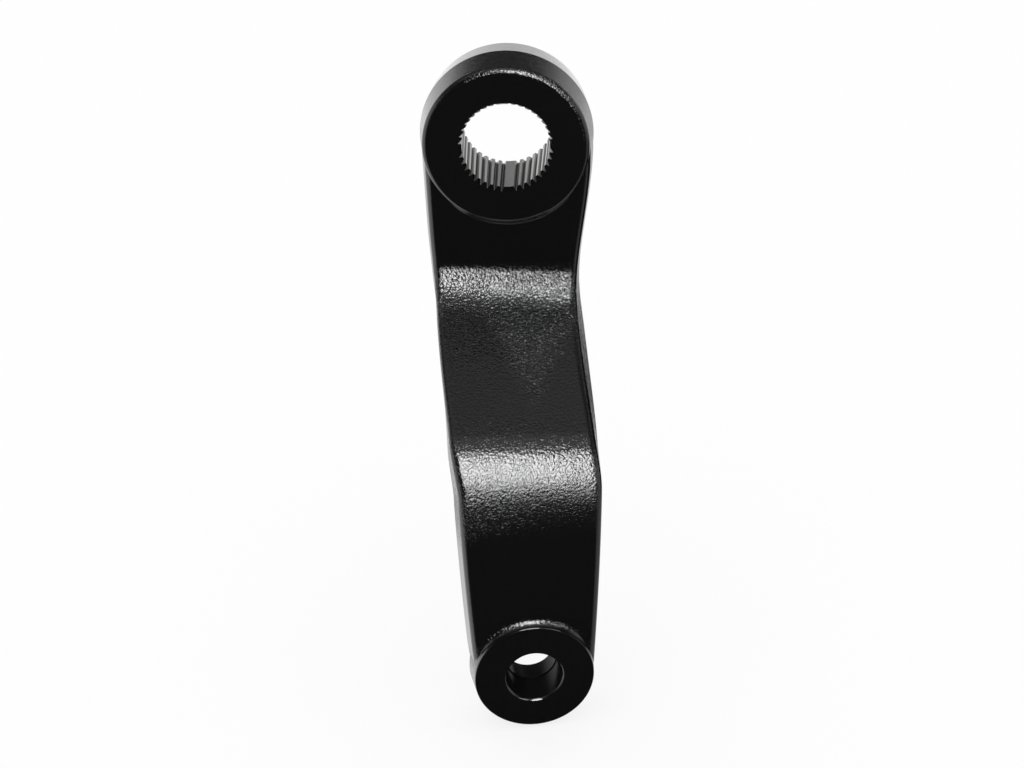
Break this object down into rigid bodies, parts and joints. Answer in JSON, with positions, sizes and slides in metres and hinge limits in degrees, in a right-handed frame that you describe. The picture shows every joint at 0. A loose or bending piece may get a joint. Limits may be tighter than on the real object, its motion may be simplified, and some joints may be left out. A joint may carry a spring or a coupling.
{
  "type": "pitman arm",
  "caption": "Forged drop pitman arm: a splined eye with wide master teeth, a Z-bent arm that drops to the front and a turned boss with a tapered stud hole, in gloss black paint.",
  "frame": {"origin": "centre of the splined eye, on its axis and midway between its two faces", "axes": "+Y along the eye's axis away from the nut side, -Z down the arm from the eye to the boss, +X to the right seen from the nut side"},
  "size_m": [0.059, 0.0963, 0.2149],
  "materials": {
    "black_paint": "gloss black paint over a forged skin, bare steel on the spline"
  },
  "bodies": {
    "root": {"pitman_arm": "black_paint"}
  },
  "joints": []
}
